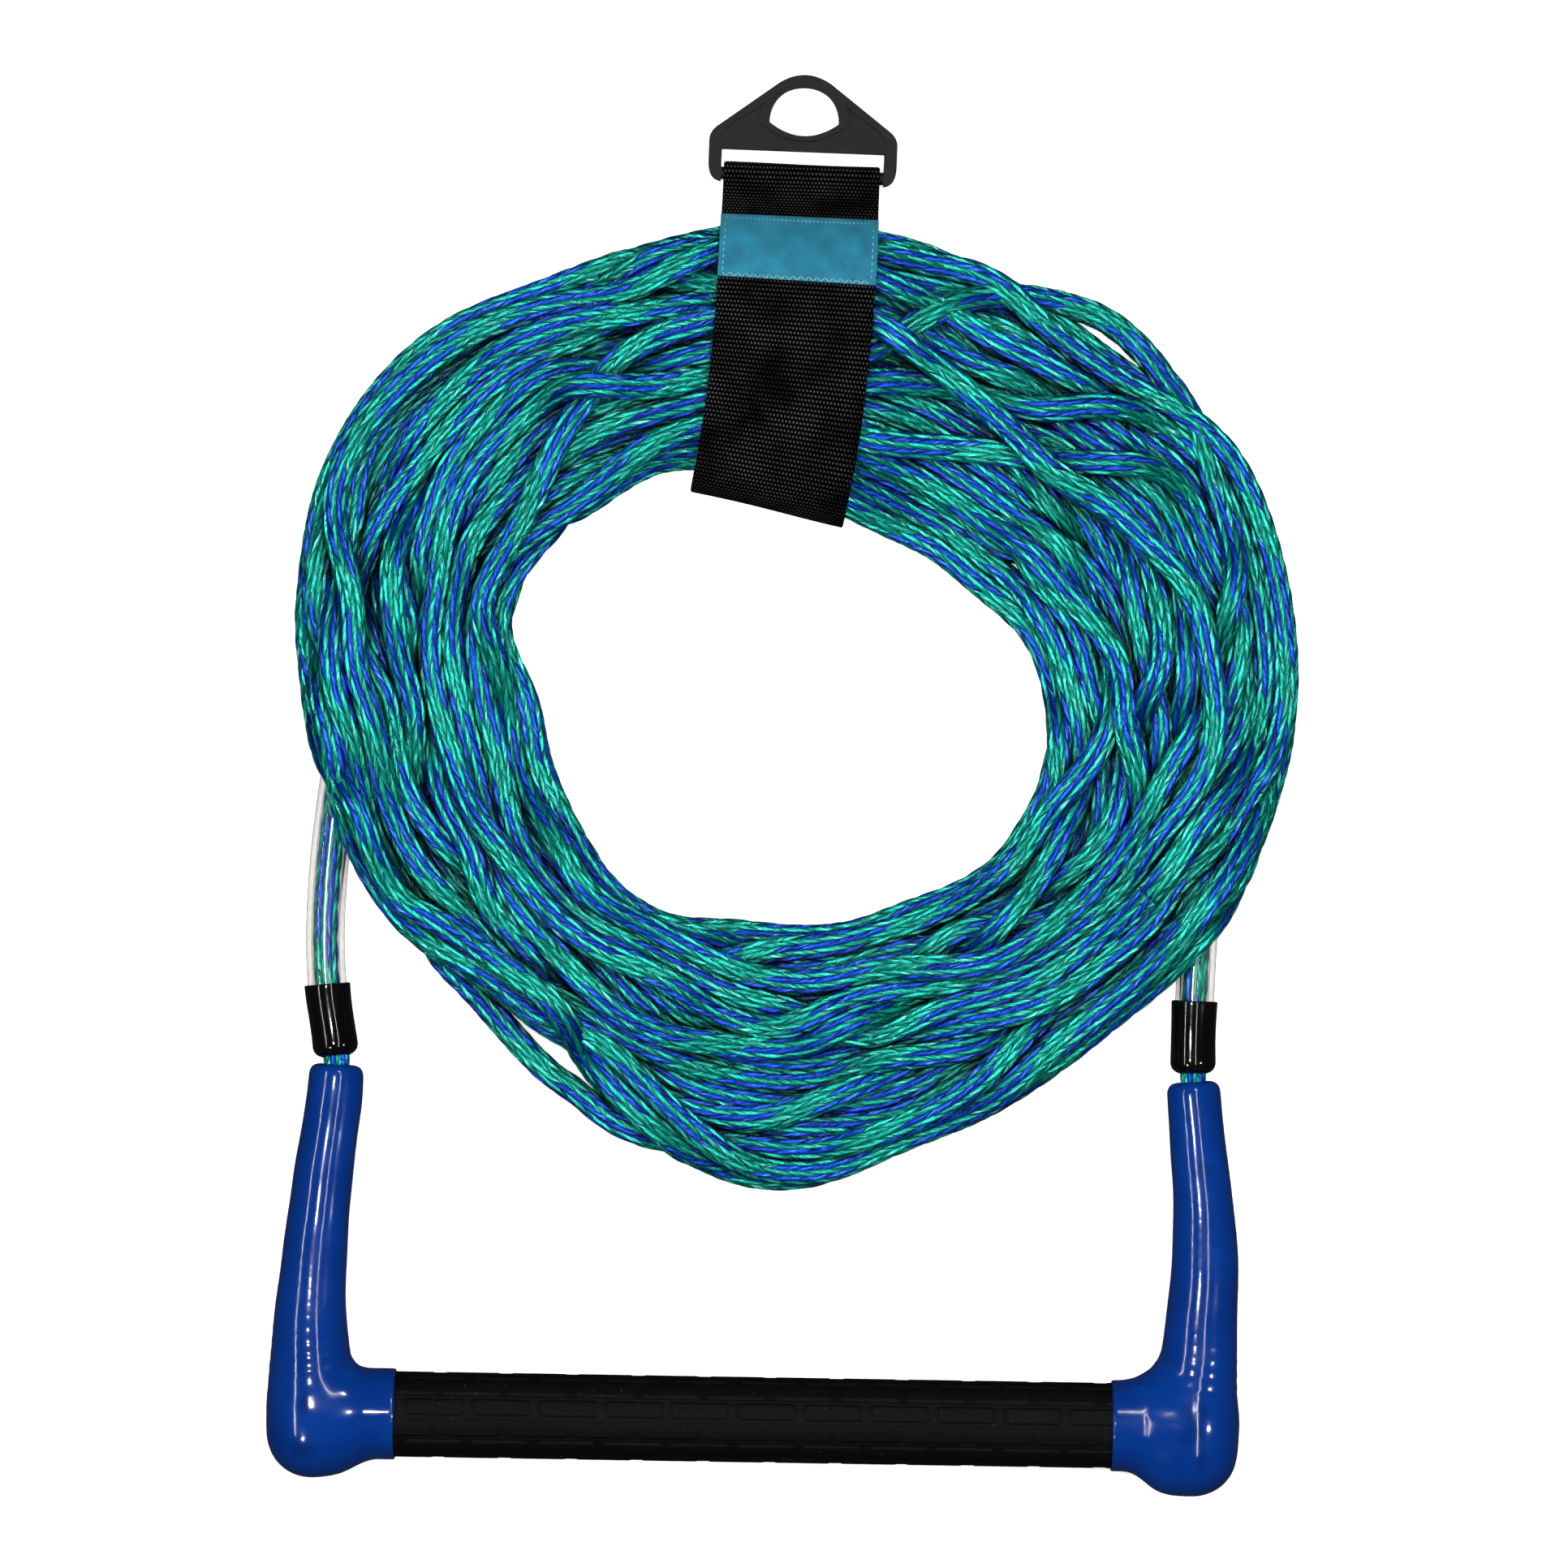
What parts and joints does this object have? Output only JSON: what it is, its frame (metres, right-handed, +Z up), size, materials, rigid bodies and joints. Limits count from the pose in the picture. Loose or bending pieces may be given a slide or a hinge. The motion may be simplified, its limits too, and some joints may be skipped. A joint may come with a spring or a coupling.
{
  "type": "tow rope handle",
  "caption": "Water-ski tow rope handle: rubber-gripped bar with dipped elbow boots, tubed bridle and a coiled braided line held by a hook-and-loop strap with a hanger.",
  "frame": {"origin": "middle of the footprint of the handle, strap and hanger, on the surface the set lies on", "axes": "+X along the handle bar, +Y from the bar towards the hanger, +Z up off the surface"},
  "size_m": [0.3262, 0.4499, 0.032],
  "materials": {
    "grip_rubber": "matt moulded pads",
    "bar_aluminium": "mill finish tube",
    "boot_vinyl": "glossy dipped vinyl",
    "plug_plastic": "moulded",
    "cap_vinyl": "glossy dipped caps",
    "rope_braid": "hollow diamond braid with tracer yarns",
    "clear_tube": "clear flexible vinyl",
    "webbing": "plain woven webbing",
    "closure": "hook and loop tape",
    "label_cloth": "woven satin patch",
    "hanger_plastic": "satin moulded"
  },
  "bodies": {
    "coil": {"main_line_coil": "rope_braid", "bridle_rope": "rope_braid", "bridle_seizing": "cap_vinyl", "clear_tube_left": "clear_tube", "clear_tube_right": "clear_tube", "lower_cap_left": "cap_vinyl", "lower_cap_right": "cap_vinyl", "upper_cap_left": "cap_vinyl", "upper_cap_right": "cap_vinyl", "strap_webbing": "webbing", "loop_patch": "closure", "hook_patch": "closure", "strap_label": "label_cloth"},
    "handle": {"grip_sleeve": "grip_rubber", "handle_tube": "bar_aluminium", "handle_rope": "rope_braid", "boot_left": "boot_vinyl", "boot_right": "boot_vinyl", "end_plug_left": "plug_plastic", "end_plug_right": "plug_plastic"},
    "hanger": {"hanger": "hanger_plastic"}
  },
  "joints": [
    {"name": "handle_swing", "type": "hinge", "parent": "coil", "child": "handle", "pos_m": [-0.132, -0.0876, 0.0084], "axis": [-0.9998, 0.0206, 0], "range_deg": [0, 30]},
    {"name": "hanger_tilt", "type": "hinge", "parent": "coil", "child": "hanger", "pos_m": [0.0155, 0.193, 0.004], "axis": [0.9993, -0.0384, 0], "range_deg": [0, 90]}
  ]
}
